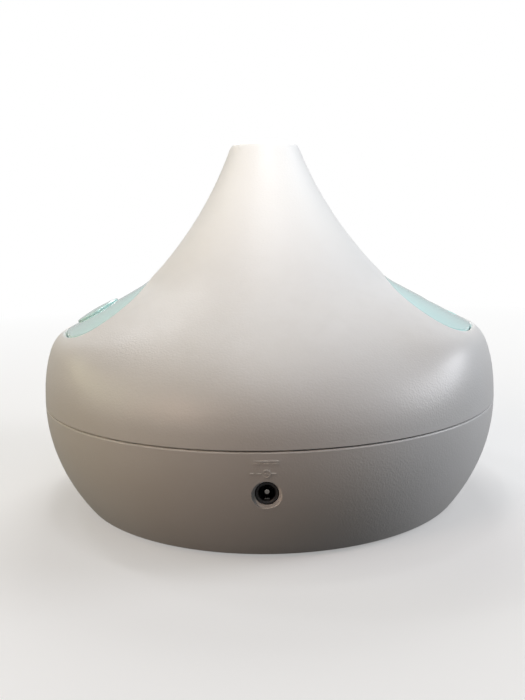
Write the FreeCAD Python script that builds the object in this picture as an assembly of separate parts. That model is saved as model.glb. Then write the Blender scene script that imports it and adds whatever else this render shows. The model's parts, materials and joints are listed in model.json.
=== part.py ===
import FreeCAD, Part
import math
import os

# Drop-shaped cool mist humidifier: a low round base with a water basin, and a
# lift-off hood that rises to a narrow mist outlet. Two glossy control pads sit
# in the hood's shoulders, on its -X and +X sides. The supply inlet is at +Y.
# Millimetres. +Z is up, and the origin is on the table under the hood's axis.

# Overall sizes
seam_radius = 95.0
bowl_height = 41.0
hood_height = 104.1
foot_stand = 1.5
seam_gap = 0.6
wall = 2.5

# Bowl of the base: part of an ellipse whose centre is on the seam plane
bowl_fall = 78.5
rim_round = 0.5

# Hood outline beside the pads: wall, shoulder corner, deck, kink, flank, tip
shoulder_inset = 5.2
shoulder_height = 26.8
shoulder_reach = 4.3
kink_radius = 52.0
kink_height = 47.2
kink_reach = 3.0
tip_radius = 13.7
tip_round = 2.6
tip_plate = 3.0
flank_foot = 0.19
flank_shoulder = 0.115
flank_turn = 0.48

# Hood outline at the front and the rear: one smooth S
waist_radius = 47.5
waist_height = 51.3
rear_rise = 26.6
rear_lean_radius = 64.6
rear_lean_height = 34.2

# The deck fades into the S between these angles from the X axis
deck_half_angle = 33.0
wall_levels = 5
corner_levels = 4
deck_levels = 6
kink_levels = 2
flank_levels = 10
fade_half_angle = 58.0
ring_points = 48

# Pads
pad_half_width = 40.5
pad_rim = 4.2
pad_recess = 0.4
pad_bite = 0.45
pad_gap = 0.25
pad_flange = 2.0
pad_flange_thickness = 1.6
window_round = 1.4

# Buttons in the pads
button_shift = 0.55
button_gap = 0.35
button_travel = 1.5
button_lip = 1.5
button_lip_thickness = 1.4
lip_play = 0.3
mist_button_size = (9.5, 13.0)
mist_button_proud = 1.2
light_button_size = (8.5, 12.0)
light_button_proud = -0.55
dome_radius = 70.0
stem_radius = 2.5
running_gap = 0.06
bridge_drop = 12.0
bridge_thickness = 2.0
bridge_width = 10.0
spring_wire = 0.4
spring_radius = 4.2
spring_turns = 4
magnet_radius = 1.9
magnet_length = 3.0
sensor_gap = 1.0

# Basin
basin_floor = 24.0
basin_wall = 2.5
flange_thickness = 2.5
collar_height = 11.5
collar_wall = 2.5
collar_inset = 5.8
slide_gap = 0.5
tower_radius = 6.8
tower_wall = 1.5
tower_rise = 5.4
snorkel_radius = 9.0
snorkel_wall = 1.6
snorkel_rise = 9.5
snorkel_from_wall = 6.0

# Float
float_radius = 9.5
float_height = 8.0
float_travel = 8.0
float_gap = 0.4
float_spare = 0.5
float_post_radius = 3.0
float_step = 1.0
float_cap_radius = 5.5
float_offset = 38.0

# Mist chimney and outlet
chimney_mouth = 22.0
chimney_bore = 8.1
chimney_wall = 1.6
chimney_lift = 8.0
chimney_taper_share = 0.45
seal_thickness = 1.5
outlet_bore = 6.3
outlet_flange = 9.6
outlet_depth = 12.0

# Ultrasonic disc
disc_radius = 9.2
disc_thickness = 0.7
disc_port = 7.5
disc_seal_height = 3.5
clamp_thickness = 2.0
clamp_radius = 17.0
clamp_screw_circle = 13.7

# Supply inlet
inlet_drop = 15.0
inlet_recess_radius = 5.1
inlet_recess_depth = 1.7
inlet_nose_radius = 3.9
inlet_bore = 2.85
inlet_pin = 1.0
inlet_pin_shank = 0.7
inlet_pin_step = 0.5
inlet_depth = 10.5
inlet_block = (9.5, 8.0, 11.0)
inlet_boss_radius = 8.0
inlet_board = (28.0, 1.6, 14.0)
inlet_screw_spread = 11.0

# Bottom cover, feet and boards
cover_plate = 2.5
cover_rim = 2.7
cover_gap = 0.3
foot_radius = 6.0
foot_height = 2.5
foot_circle = 64.0
ledge_width = 6.0
ledge_thickness = 2.5
board_size = (52.0, 28.0, 1.6)
board_lift = 5.0
board_centre = 46.0
led_ring = (20.0, 30.0)
led_board_thickness = 1.6

# Fan
fan_size = 40.0
fan_depth = 10.0
fan_centre = -46.0
fan_bore = 18.5
fan_tip_gap = 0.7
fan_hub = 10.5
fan_blades = 7
fan_hole_spread = 16.0
fan_lift = 1.5
fan_shaft_radius = 1.0
duct_wall = 1.5

# Screws
screw_radius = 1.4
screw_head = 2.6
screw_head_height = 1.8
small_screw_radius = 1.0
small_screw_head = 1.9
small_screw_head_height = 1.2
thread_gap = 0.05
boss_radius = 3.2
column_circle_inset = 16.4
column_radius = 4.0

# Seats, vents and marks
hood_ledge_height = 3.5
outlet_seat = 1.2
gasket_width = 3.0
gasket_thickness = 1.5
gasket_margin = 1.6
gasket_ledge_thickness = 2.4
boss_height = 10.0
vent_pitch = 4.8
vent_width = 2.4
mark_drop = 3.4
mark_step = 3.9
mark_width = 8.0
mark_spread = 4.7
mark_line = 0.42
mark_ring = 1.45
mark_height = 0.22

# Heights and radii that follow
base_bottom = foot_stand
seam_height = base_bottom + bowl_height
hood_bottom = seam_height + seam_gap
hood_top = seam_height + hood_height
shoulder_radius = seam_radius - shoulder_inset
deck_angle = math.atan2(kink_height - shoulder_height, shoulder_radius - kink_radius)
inlet_height = seam_height - inlet_drop
inlet_face = seam_radius * math.sqrt(1 - (inlet_drop / bowl_fall) ** 2)
inlet_recess_floor = inlet_face - inlet_recess_depth
inlet_board_face = inlet_recess_floor - inlet_nose_radius - inlet_board[1] - inlet_block[1] - 1.0
flat_radius = seam_radius * math.sqrt(1 - (bowl_height / bowl_fall) ** 2)
cover_radius = flat_radius - cover_rim - cover_gap
housing_screw_circle = cover_radius - screw_head - 0.6
inside_floor = base_bottom + cover_plate
flange_top = hood_bottom
flange_radius = seam_radius - wall - slide_gap
collar_radius = seam_radius - wall - collar_inset
basin_radius = inlet_board_face - 3.0
basin_inner = basin_radius - basin_wall
basin_inside = basin_floor + basin_wall
column_circle = seam_radius - column_circle_inset
tower_top = flange_top + tower_rise
snorkel_centre = basin_inner - snorkel_radius - snorkel_from_wall
float_bottom = basin_inside + float_step
float_post_top = float_bottom + float_height + float_travel + float_spare
chimney_top = hood_top - tip_plate - seal_thickness
chimney_bottom = flange_top + chimney_lift
board_bottom = inside_floor + board_lift
fan_bottom = inside_floor + fan_lift
fan_top = fan_bottom + fan_depth
button_radius = kink_radius + button_shift * (shoulder_radius - kink_radius) + 1.0
button_height = kink_height - (button_radius - kink_radius) * math.tan(deck_angle)
stem_length = (seam_height + button_height - tower_top - sensor_gap - 0.5) / math.cos(deck_angle)
stem_length = stem_length - button_travel - stem_radius * math.tan(deck_angle)
tower_centre = button_radius - stem_length * math.sin(deck_angle)
deck_top = seam_height + kink_height + 30.0
deck_bottom = seam_height + shoulder_height - 4.5
pad_thickness = wall + pad_gap - pad_recess + pad_bite
lip_seat = -pad_recess - pad_thickness
lip_top = lip_seat - lip_play
lip_bottom = lip_top - button_lip_thickness
gasket_ring = (seam_radius - wall - gasket_margin - gasket_width, seam_radius - wall - gasket_margin)
basin_underside = flange_top - flange_thickness
gasket_bottom = basin_underside - gasket_thickness
ledge_bottom = gasket_bottom - gasket_ledge_thickness
boss_top = inside_floor + boss_height
inlet_board_back = inlet_board_face + inlet_board[1]
inlet_boss_face = inlet_board_back + inlet_block[1]
inlet_pin_back = inlet_recess_floor - inlet_depth - 2.0

quarter_angles = (0.0, 90.0, 180.0, 270.0)
diagonal_angles = (45.0, 135.0, 225.0, 315.0)


def vec(x, y, z=0.0):
    return FreeCAD.Vector(x, y, z)


def polar(radius, angle, z=0.0):
    a = math.radians(angle)
    return vec(radius * math.cos(a), radius * math.sin(a), z)


def cylinder(radius, low, high, x=0.0, y=0.0):
    return Part.makeCylinder(radius, high - low, vec(x, y, low))


def tube(outer, inner, low, high, x=0.0, y=0.0):
    return cylinder(outer, low, high, x, y).cut(cylinder(inner, low - 1, high + 1, x, y))


def box(length, width, low, high, x=0.0, y=0.0):
    return Part.makeBox(length, width, high - low, vec(x - length / 2, y - width / 2, low))


def fuse_all(shapes):
    whole = shapes[0].fuse(shapes[1:])
    return whole.removeSplitter()


def cut_all(shape, tools):
    return shape.cut(Part.makeCompound(tools))


def save(name, shape):
    shape.exportStep(os.path.join("parts", name + ".step"))


def bezier(points, share):
    while len(points) > 1:
        points = [
            (a[0] + (b[0] - a[0]) * share, a[1] + (b[1] - a[1]) * share)
            for a, b in zip(points, points[1:])
        ]
    return points[0]


def toward(start, end, distance):
    run = math.hypot(end[0] - start[0], end[1] - start[1])
    share = distance / run
    return (start[0] + (end[0] - start[0]) * share, start[1] + (end[1] - start[1]) * share)


def spread(points, count, first=1):
    return [bezier(points, i / count) for i in range(first, count + 1)]


# Outlines are (radius, height above the seam plane), from the seam to the tip.

def flank_controls(start, foot):
    tip = (tip_radius, hood_height)
    rise = hood_height - start[1]
    reach = flank_foot * rise
    low = toward(foot, start, math.hypot(start[0] - foot[0], start[1] - foot[1]) + reach)
    high = (tip_radius + flank_shoulder * (seam_radius - tip_radius), hood_height - flank_turn * rise)
    return [start, low, high, tip]


def side_outline():
    seam = (seam_radius, seam_gap)
    bulge = (seam_radius, seam_gap + 0.5 * shoulder_height)
    corner = (shoulder_radius, shoulder_height)
    kink = (kink_radius, kink_height)
    rise_end = toward(corner, bulge, shoulder_reach)
    deck_start = toward(corner, kink, shoulder_reach)
    deck_end = toward(kink, corner, kink_reach)
    rise_angle = math.radians(42.0)
    flank_start = (kink[0] - kink_reach * math.cos(rise_angle), kink[1] + kink_reach * math.sin(rise_angle))
    points = [seam]
    points += spread([seam, bulge, rise_end], wall_levels)
    points += spread([rise_end, corner, deck_start], corner_levels)
    points += spread([deck_start, deck_end], deck_levels)
    points += spread([deck_end, kink, flank_start], kink_levels)
    points += spread(flank_controls(flank_start, kink), flank_levels)
    return points


def rear_outline():
    seam = (seam_radius, seam_gap)
    rise = (seam_radius, rear_rise)
    lean = (rear_lean_radius, rear_lean_height)
    waist = (waist_radius, waist_height)
    controls = [seam, rise, lean, waist]
    points = spread(controls, wall_levels + corner_levels + deck_levels + kink_levels, 0)
    points += spread(flank_controls(waist, lean), flank_levels)
    return points


def deck_weight(angle):
    from_x = abs((angle + 90.0) % 180.0 - 90.0)
    share = (fade_half_angle - from_x) / (fade_half_angle - deck_half_angle)
    share = min(1.0, max(0.0, share))
    return share * share * (3 - 2 * share)


def inset_outline(points, inset):
    moved = []
    for i, (r, z) in enumerate(points):
        before = points[max(i - 1, 0)]
        after = points[min(i + 1, len(points) - 1)]
        along = (0.0, 1.0) if i == 0 else (after[0] - before[0], after[1] - before[1])
        size = math.hypot(along[0], along[1])
        moved.append((r - inset * along[1] / size, z + inset * along[0] / size))
    return moved


def hood_poles(inset):
    """Control points of the hood's skin: one list from the seam to the tip for each angle."""
    side = side_outline()
    rear = rear_outline()
    step = math.radians(360.0 / ring_points)
    outward = 3.0 / (2.0 + math.cos(step))
    poles = []
    for i in range(ring_points):
        angle = 360.0 * i / ring_points - 90.0
        weight = deck_weight(angle)
        outline = [
            (a[0] * weight + b[0] * (1 - weight), a[1] * weight + b[1] * (1 - weight))
            for a, b in zip(side, rear)
        ]
        outline = inset_outline(outline, inset)
        if inset > 0:
            outline.insert(0, (outline[0][0], outline[0][1] - 4.0))
            outline[-1] = (outline[-1][0], hood_height)
        else:
            tip = outline.pop()
            rounding = [toward(tip, outline[-1], tip_round), tip, (tip[0] - tip_round, tip[1])]
            outline += spread(rounding, 4, 0)
        poles.append([polar(r * outward, angle, seam_height + z) for r, z in outline])
    return poles


def hood_solid(inset):
    """The hood's outer form as one smooth skin, moved inward by inset and capped at both ends."""
    poles = hood_poles(inset)
    levels = len(poles[0])
    skin = Part.BSplineSurface()
    skin.buildFromPolesMultsKnots(
        poles,
        [1] * (ring_points + 1),
        [4] + [1] * (levels - 4) + [4],
        list(range(ring_points + 1)),
        list(range(levels - 2)),
        True,
        False,
        3,
        3,
    )
    face = skin.toShape()
    rims = [e for e in face.Edges if e.isClosed() and e.BoundBox.ZLength < 0.01]
    caps = [Part.Face(Part.Wire([rim])) for rim in rims]
    shell = Part.Shell([face] + caps)
    shell.sewShape()
    solid = Part.Solid(Part.Shell(shell.Faces))
    if solid.Volume < 0:
        solid.reverse()
    return solid


def hood_shell(outer, inner):
    return hood_solid(outer).cut(hood_solid(inner))


def pad_plan(side, grow):
    inner = kink_radius - 4.2 - grow
    outer = shoulder_radius - pad_rim + grow
    widest = kink_radius + 0.45 * (shoulder_radius - kink_radius)
    width = pad_half_width + grow
    half = [
        (outer, 0.0),
        (widest + 0.72 * (outer - widest), 0.62 * width),
        (widest, width),
        (inner + 0.40 * (widest - inner), 0.80 * width),
        (inner + 0.08 * (widest - inner), 0.30 * width),
        (inner, 0.0),
    ]
    loop = half + [(x, -y) for x, y in half[-2:0:-1]]
    curve = Part.BSplineCurve()
    curve.interpolate(Points=[vec(side * x, y, 0) for x, y in loop], PeriodicFlag=True)
    face = Part.Face(Part.Wire([curve.toShape()]))
    face.translate(vec(0, 0, deck_bottom))
    return face.extrude(vec(0, 0, deck_top - deck_bottom))


def on_deck(shape, side):
    tilt = FreeCAD.Rotation(vec(0, 1, 0), side * math.degrees(deck_angle))
    shape.Placement = FreeCAD.Placement(
        vec(side * button_radius, 0, seam_height + button_height), tilt
    ).multiply(shape.Placement)
    return shape


def oval(half_length, half_width, low, high):
    shape = Part.Ellipse(vec(0, half_width, low), vec(half_length, 0, low), vec(0, 0, low)).toShape()
    return Part.Face(Part.Wire([shape])).extrude(vec(0, 0, high - low))


def pad(side, size):
    plug = pad_plan(side, -pad_gap).common(hood_shell(pad_recess, pad_recess + pad_thickness))
    flange_start = wall + pad_gap
    flange = pad_plan(side, pad_flange).common(
        hood_shell(flange_start, flange_start + pad_flange_thickness)
    )
    leg_offset = size[1] + button_lip + 2.5
    bar = box(bridge_width, 2 * leg_offset + 2.0, -bridge_drop - bridge_thickness, -bridge_drop)
    legs = [
        box(bridge_width, 2.0, -bridge_drop - bridge_thickness, lip_seat - 0.4, 0, y)
        for y in (-leg_offset, leg_offset)
    ]
    bridge = on_deck(fuse_all([bar] + legs), side)
    shape = fuse_all([plug, flange, bridge])
    hole = on_deck(oval(size[0] + button_gap, size[1] + button_gap, lip_seat - 1.0, 9.0), side)
    seat_margin = button_lip + button_gap
    seat = on_deck(oval(size[0] + seat_margin, size[1] + seat_margin, lip_seat - 6.0, lip_seat), side)
    bore = on_deck(cylinder(stem_radius + running_gap, -30.0, 0.0), side)
    return cut_all(shape, [hole, seat, bore])


def button(side, size, proud):
    cap = oval(size[0], size[1], lip_top - 0.5, proud + 1.0)
    dome = Part.makeSphere(dome_radius, vec(0, 0, proud - dome_radius))
    cap = cap.common(dome)
    top = [edge for edge in cap.Edges if edge.BoundBox.ZMin > lip_top + 0.5]
    cap = cap.makeFillet(0.7, [edge for edge in top if edge.Length > size[0]])
    lip = oval(size[0] + button_lip, size[1] + button_lip, lip_bottom, lip_top)
    stem = cylinder(stem_radius, -stem_length, lip_top)
    pocket = cylinder(magnet_radius + 0.05, -stem_length - 1, -stem_length + magnet_length)
    return on_deck(fuse_all([cap, lip, stem]).cut(pocket), side)


def button_magnet(side):
    return on_deck(cylinder(magnet_radius, -stem_length, -stem_length + magnet_length), side)


def button_spring(side):
    low = -bridge_drop + spring_wire
    high = lip_bottom - spring_wire
    pitch = (high - low) / spring_turns
    path = Part.Wire(Part.makeHelix(pitch, high - low, spring_radius).Edges)
    circle = Part.Circle(vec(spring_radius, 0, 0), vec(0, 1, 0), spring_wire)
    coil = path.makePipeShell([Part.Wire([circle.toShape()])], True, True)
    coil.translate(vec(0, 0, low))
    return on_deck(coil, side)


def hood():
    inside = hood_solid(wall).common(box(4 * seam_radius, 4 * seam_radius, 0, hood_top - tip_plate))
    body = hood_solid(0.0).cut(inside)
    ledge_top = hood_bottom + hood_ledge_height
    ledge = tube(seam_radius - wall + 0.5, collar_radius + slide_gap, hood_bottom, ledge_top)
    body = body.fuse(ledge)
    for side in (-1, 1):
        body = body.cut(pad_plan(side, 0.0))
        body = body.makeFillet(window_round, [e for e in body.Edges if is_window_edge(e, side)])
    outlet = cylinder(chimney_bore, hood_top - 20, hood_top + 1)
    seat = cylinder(outlet_flange + 0.2, hood_top - outlet_seat, hood_top + 1)
    return cut_all(body, [outlet, seat])


def is_window_edge(edge, side):
    """The outer edge of a pad's window: the higher of the two loops cut by the pad's plan."""
    bounds = edge.BoundBox
    beside = side * bounds.Center.x > kink_radius
    spans_deck = bounds.ZLength > 0.5 * (kink_height - shoulder_height)
    return beside and spans_deck and bounds.ZMax > seam_height + kink_height + 1.0


def outlet_ring():
    low = hood_top - outlet_seat
    ring = tube(outlet_flange, outlet_bore, low, hood_top - 0.1)
    spigot = tube(chimney_bore - 0.1, outlet_bore, low - outlet_depth, low)
    ring = ring.fuse(spigot).removeSplitter()
    rim = [e for e in ring.Edges if e.BoundBox.ZMin > hood_top - 0.2]
    return ring.makeFillet(0.4, rim)


def mist_chimney():
    neck = chimney_bottom + chimney_taper_share * (chimney_top - chimney_bottom)
    outline = [
        vec(chimney_mouth, 0, chimney_bottom),
        vec(chimney_bore, 0, neck),
        vec(chimney_bore, 0, chimney_top),
        vec(chimney_bore + chimney_wall, 0, chimney_top),
        vec(chimney_bore + chimney_wall, 0, neck),
        vec(chimney_mouth + chimney_wall, 0, chimney_bottom),
    ]
    return revolve(outline)


def chimney_seal():
    return tube(chimney_bore + chimney_wall, chimney_bore, chimney_top, chimney_top + seal_thickness)


def revolve(outline):
    wire = Part.makePolygon(outline + [outline[0]])
    return Part.Face(wire).revolve(vec(0, 0, 0), vec(0, 0, 1), 360)


# Base: a bowl whose outline is part of an ellipse

def bowl_solid(inset, low, extra=0.0):
    across = seam_radius - inset
    fall = bowl_fall - inset
    centre = vec(0, 0, seam_height)
    ellipse = Part.Ellipse(centre + vec(across, 0, 0), centre - vec(0, 0, fall), centre)
    end = math.asin((seam_height - low) / fall)
    arc = ellipse.toShape(0, end)
    bottom = vec(across * math.cos(end), 0, low)
    top = vec(across, 0, seam_height + extra)
    lines = [Part.makeLine(bottom, vec(0, 0, low)), Part.makeLine(vec(0, 0, low), vec(0, 0, top.z))]
    lines.append(Part.makeLine(vec(0, 0, top.z), top))
    if extra > 0:
        lines.append(Part.makeLine(top, vec(across, 0, seam_height)))
    wire = Part.Wire(Part.__sortEdges__([arc] + lines))
    return Part.Face(wire).revolve(vec(0, 0, 0), vec(0, 0, 1), 360)


def along_y(radius, near, far, x, z):
    return Part.makeCylinder(radius, far - near, vec(x, near, z), vec(0, 1, 0))


def inlet_marks():
    """Direct-current and centre-positive signs, raised on the bowl above the inlet."""
    near = seam_radius - 12.0
    reach = 14.0

    def bar(length, height, x, z):
        return Part.makeBox(length, reach, height, vec(x - length / 2, near, z - height / 2))

    def ring(outer, inner, x, z):
        return along_y(outer, near, near + reach, x, z).cut(along_y(inner, near - 1, near + reach + 1, x, z))

    supply = seam_height - mark_drop
    polarity = supply - mark_step
    shapes = [bar(mark_width, mark_line, 0, supply + mark_line)]
    shapes += [bar(mark_width / 4, mark_line, x * mark_width * 0.375, supply - mark_line) for x in (-1, 0, 1)]
    shapes += [bar(1.3, mark_line, side * mark_spread, polarity) for side in (-1, 1)]
    shapes += [bar(mark_line, 1.3, -mark_spread, polarity)]
    shapes += [bar(1.4, mark_line, side * (mark_spread - 2.2), polarity) for side in (-1, 1)]
    opening = Part.makeBox(1.1, reach + 2, 3.0, vec(mark_ring * 0.55, near - 1, polarity - 1.5))
    shapes += [ring(mark_ring, mark_ring - mark_line, 0, polarity).cut(opening)]
    shapes += [along_y(0.42, near, near + reach, 0, polarity)]
    skin = bowl_solid(-mark_height, base_bottom).cut(bowl_solid(0.6, base_bottom + 1))
    return skin.common(Part.makeCompound(shapes)).Solids


def screw_bosses(circle, angles, radius, low, high):
    return [cylinder(radius, low, high, p.x, p.y) for p in (polar(circle, a) for a in angles)]


def lower_housing():
    inner = bowl_solid(wall, inside_floor, 5.0)
    shell = bowl_solid(0.0, base_bottom).cut(inner)
    rim = [e for e in shell.Edges if e.BoundBox.ZMin > seam_height - 0.1 and e.Length > 6 * seam_radius - 5]
    shell = shell.makeFillet(rim_round, rim)
    within = bowl_solid(wall * 0.5, inside_floor)
    ledge = tube(seam_radius, cover_radius - ledge_width, inside_floor, inside_floor + ledge_thickness)
    gasket_ledge = tube(seam_radius, gasket_ring[0] - 1.0, ledge_bottom, gasket_bottom)
    posts = screw_bosses(housing_screw_circle, quarter_angles, boss_radius, inside_floor, boss_top)
    columns = screw_bosses(column_circle, diagonal_angles, column_radius, inside_floor, basin_underside)
    inlet = [along_y(inlet_boss_radius, inlet_boss_face, seam_radius, 0, inlet_height)]
    for x in (-inlet_screw_spread, inlet_screw_spread):
        inlet.append(along_y(2.6, inlet_board_back, seam_radius, x, inlet_height))
    added = Part.makeCompound([ledge, gasket_ledge] + posts + columns + inlet)
    body = shell.fuse([s.common(within) for s in added.Solids]).removeSplitter()
    body = body.fuse(inlet_marks())
    opening = cylinder(cover_radius + cover_gap, 0, inside_floor)
    holes = screw_bosses(housing_screw_circle, quarter_angles, screw_radius + thread_gap, 0, boss_top - 1)
    holes += screw_bosses(
        column_circle, diagonal_angles, screw_radius + thread_gap, basin_underside - 12, seam_height
    )
    holes.append(along_y(inlet_recess_radius, inlet_recess_floor, seam_radius + 1, 0, inlet_height))
    holes.append(along_y(inlet_nose_radius + 0.1, inlet_boss_face - 1, seam_radius, 0, inlet_height))
    for x in (-inlet_screw_spread, inlet_screw_spread):
        holes.append(along_y(small_screw_radius + thread_gap, inlet_board_back - 1, inlet_board_back + 7, x,
                             inlet_height))
    return cut_all(body, [opening] + holes)


def bottom_cover():
    plate = cylinder(cover_radius, base_bottom, inside_floor)
    posts = [cylinder(2.5, inside_floor, board_bottom, x, y) for x, y in board_holes()]
    posts += [cylinder(3.0, inside_floor, fan_bottom, x, y) for x, y in fan_holes()]
    plate = plate.fuse(posts).removeSplitter()
    cuts = [cylinder(foot_radius + 0.1, 0, foot_height, p.x, p.y) for p in foot_places()]
    board_vent = board_size[1] - 8.0
    for i in range(-3, 4):
        x = i * vent_pitch
        fan_vent = 2 * math.sqrt((fan_bore - 2.0) ** 2 - x ** 2)
        cuts.append(box(vent_width, fan_vent, 0, inside_floor + 1, x, fan_centre))
        cuts.append(box(vent_width, board_vent, 0, inside_floor + 1, x, board_centre))
    cuts += [cylinder(screw_radius + 0.2, 0, seam_height, p.x, p.y) for p in housing_screw_places()]
    cuts += [
        cylinder(screw_head + 0.2, 0, base_bottom + 1.2, p.x, p.y) for p in housing_screw_places()
    ]
    cuts += [cylinder(small_screw_radius + thread_gap, base_bottom + 1, 99, x, y) for x, y in board_holes()]
    cuts += [cylinder(screw_radius + thread_gap, base_bottom + 1, 99, x, y) for x, y in fan_holes()]
    return cut_all(plate, cuts)


def foot_places():
    return [polar(foot_circle, a) for a in diagonal_angles]


def housing_screw_places():
    return [polar(housing_screw_circle, a) for a in quarter_angles]


def board_holes():
    x = board_size[0] / 2 - 4.0
    y = board_size[1] / 2 - 4.0
    return [(sx * x, board_centre + sy * y) for sx in (-1, 1) for sy in (-1, 1)]


def fan_holes():
    return [(sx * fan_hole_spread, fan_centre + sy * fan_hole_spread) for sx in (-1, 1) for sy in (-1, 1)]


def rubber_feet():
    feet = []
    for p in foot_places():
        foot = cylinder(foot_radius, 0, foot_height, p.x, p.y)
        feet.append(foot.makeFillet(0.6, [e for e in foot.Edges if e.BoundBox.ZMax < 0.1]))
    return Part.makeCompound(feet)


def screw(radius, head, head_height, length, place, up=True):
    """A cross-head screw whose head stands below (up) or above its seat at place."""
    direction = 1 if up else -1
    shank = Part.makeCylinder(radius, length, place, vec(0, 0, direction))
    cap = Part.makeCylinder(head, head_height, place, vec(0, 0, -direction))
    crown = [e for e in cap.Edges if abs(e.BoundBox.Center.z - place.z) > head_height - 0.01]
    cap = cap.makeFillet(head_height * 0.35, crown)
    outer = place.z - direction * head_height
    slots = [
        box(a, b, min(outer, outer + direction * 0.8), max(outer, outer + direction * 0.8), place.x, place.y)
        for a, b in ((head * 1.2, head * 0.28), (head * 0.28, head * 1.2))
    ]
    return cap.cut(Part.makeCompound(slots)).fuse(shank).removeSplitter()


def big_screws(places, length, up=True):
    return Part.makeCompound([
        screw(screw_radius, screw_head, screw_head_height, length, p, up) for p in places
    ])


def small_screws(places, length, up=True):
    return Part.makeCompound([
        screw(small_screw_radius, small_screw_head, small_screw_head_height, length, p, up) for p in places
    ])


def housing_screws():
    seat = base_bottom + 1.2
    places = [vec(p.x, p.y, seat) for p in housing_screw_places()]
    return Part.makeCompound([
        screw(screw_radius, screw_head, 1.1, 9.0, p) for p in places
    ])


def basin_screws():
    places = [polar(column_circle, a, flange_top) for a in diagonal_angles]
    return big_screws(places, 12.0, False)


def board_screws():
    places = [vec(x, y, board_bottom + board_size[2]) for x, y in board_holes()]
    return small_screws(places, 6.0, False)


def fan_screws():
    places = [vec(x, y, fan_top + duct_wall) for x, y in fan_holes()]
    return big_screws(places, fan_depth + duct_wall + 2.0, False)


def main_board():
    board = box(board_size[0], board_size[1], board_bottom, board_bottom + board_size[2], 0, board_centre)
    return cut_all(board, [cylinder(small_screw_radius + thread_gap, 0, 99, x, y) for x, y in board_holes()])


def board_parts():
    top = board_bottom + board_size[2]
    y = board_centre
    return Part.makeCompound([
        tube(5.0, 2.0, top, top + 7.0, -12, y + 3),
        cylinder(4.0, top, top + 9.0, 12, y + 4),
        cylinder(3.2, top, top + 8.0, 2, y + 6),
        box(8.0, 8.0, top, top + 1.5, 0, y - 5),
        box(9.0, 5.0, top, top + 6.0, -20, y - 2),
        box(9.0, 5.0, top, top + 6.0, 20, y - 2),
        box(6.0, 5.0, top, top + 6.0, 11, y - 8),
        box(6.0, 5.0, top, top + 6.0, -11, y - 9),
    ])


def dc_jack():
    height = inlet_block[2]
    block = box(inlet_block[0], inlet_block[1], inlet_height - height / 2, inlet_height + height / 2, 0,
                inlet_board_back + inlet_block[1] / 2)
    nose = along_y(inlet_nose_radius, inlet_board_back + 1, inlet_recess_floor - 0.2, 0, inlet_height)
    body = block.fuse(nose).removeSplitter()
    bore = along_y(inlet_bore, inlet_recess_floor - inlet_depth, seam_radius, 0, inlet_height)
    pin_hole = along_y(inlet_pin_shank, inlet_pin_back, seam_radius, 0, inlet_height)
    body = cut_all(body, [bore, pin_hole])
    mouth = [e for e in body.Edges if e.BoundBox.YMin > inlet_recess_floor - 0.3]
    return body.makeChamfer(0.3, mouth)


def dc_jack_pin():
    tip = inlet_recess_floor - 1.5
    step = inlet_recess_floor - inlet_depth + inlet_pin_step
    shank = along_y(inlet_pin_shank, inlet_pin_back, tip - 1.0, 0, inlet_height)
    pin = along_y(inlet_pin, step, tip, 0, inlet_height).fuse(shank).removeSplitter()
    return pin.makeFillet(0.45, [e for e in pin.Edges if e.BoundBox.YMin > tip - 0.01])


def jack_board():
    y = inlet_board_face + inlet_board[1] / 2
    board = box(inlet_board[0], inlet_board[1], inlet_height - inlet_board[2] / 2,
                inlet_height + inlet_board[2] / 2, 0, y)
    holes = [
        along_y(small_screw_radius + thread_gap, inlet_board_face - 1, seam_radius, x, inlet_height)
        for x in (-inlet_screw_spread, inlet_screw_spread)
    ]
    return cut_all(board, holes)


def jack_screws():
    shapes = []
    for x in (-inlet_screw_spread, inlet_screw_spread):
        one = screw(small_screw_radius, small_screw_head, small_screw_head_height, 7.5, vec(0, 0, 0))
        one.Placement = FreeCAD.Placement(
            vec(x, inlet_board_face, inlet_height), FreeCAD.Rotation(vec(1, 0, 0), -90)
        )
        shapes.append(one)
    return Part.makeCompound(shapes)


# Fan and duct

def fan_frame():
    frame = box(fan_size, fan_size, fan_bottom, fan_top, 0, fan_centre)
    corners = [e for e in frame.Edges if e.BoundBox.ZLength > fan_depth - 1]
    frame = frame.makeFillet(3.0, corners)
    frame = frame.cut(cylinder(fan_bore, 0, fan_top + 1, 0, fan_centre))
    hub = cylinder(fan_hub, fan_bottom, fan_bottom + 1.5, 0, fan_centre)
    struts = []
    for angle in (30, 150, 270):
        strut = Part.makeBox(fan_bore + 1, 2.0, 1.5, vec(0, fan_centre - 1.0, fan_bottom))
        strut.rotate(vec(0, fan_centre, 0), vec(0, 0, 1), angle)
        struts.append(strut)
    post = cylinder(3.0, fan_bottom, fan_bottom + 6.5, 0, fan_centre)
    frame = frame.fuse([hub, post] + struts).removeSplitter()
    cuts = [cylinder(fan_shaft_radius + running_gap, fan_bottom + 0.8, fan_top, 0, fan_centre)]
    cuts += [cylinder(screw_radius + 0.2, 0, fan_top + 1, x, y) for x, y in fan_holes()]
    return cut_all(frame, cuts)


def fan_stator():
    return tube(fan_hub - 2.0, 3.0, fan_bottom + 2.2, fan_bottom + 6.5, 0, fan_centre)


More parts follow.
